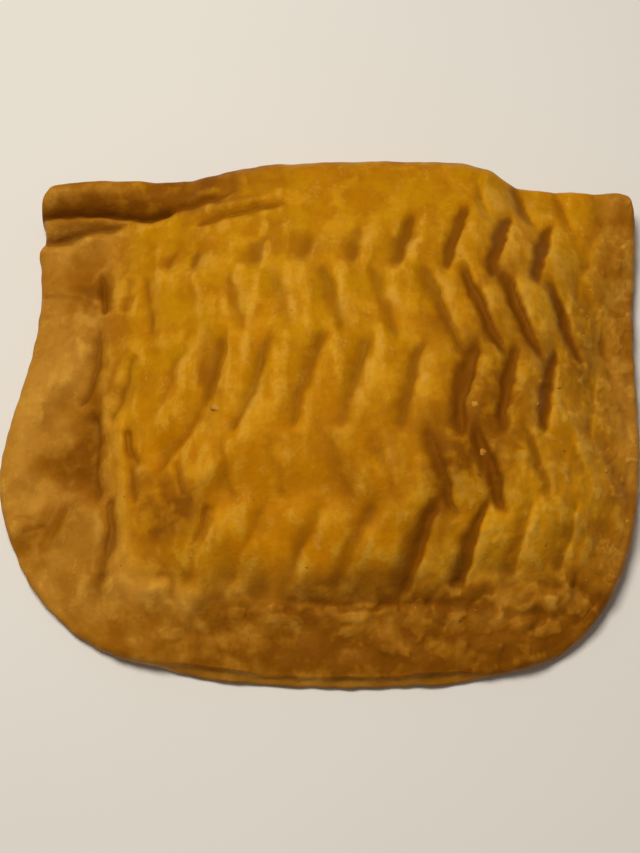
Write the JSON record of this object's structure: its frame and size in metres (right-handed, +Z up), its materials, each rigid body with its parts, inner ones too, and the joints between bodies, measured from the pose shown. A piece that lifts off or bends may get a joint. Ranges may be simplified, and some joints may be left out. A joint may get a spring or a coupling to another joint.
{
  "type": "jamaican patty",
  "caption": "Whole patty of golden pastry folded over its filling: a low dome pressed with a herringbone of grooves, a round folded edge at the back and a flat pressed rim.",
  "frame": {"origin": "middle of the bounding box, on the flat underside that the patty rests on", "axes": "+X along the folded edge, +Y from the pressed front rim towards the folded edge, +Z up"},
  "size_m": [0.15, 0.1276, 0.0244],
  "materials": {
    "crust": "satin"
  },
  "bodies": {
    "root": {"patty": "crust"}
  },
  "joints": []
}
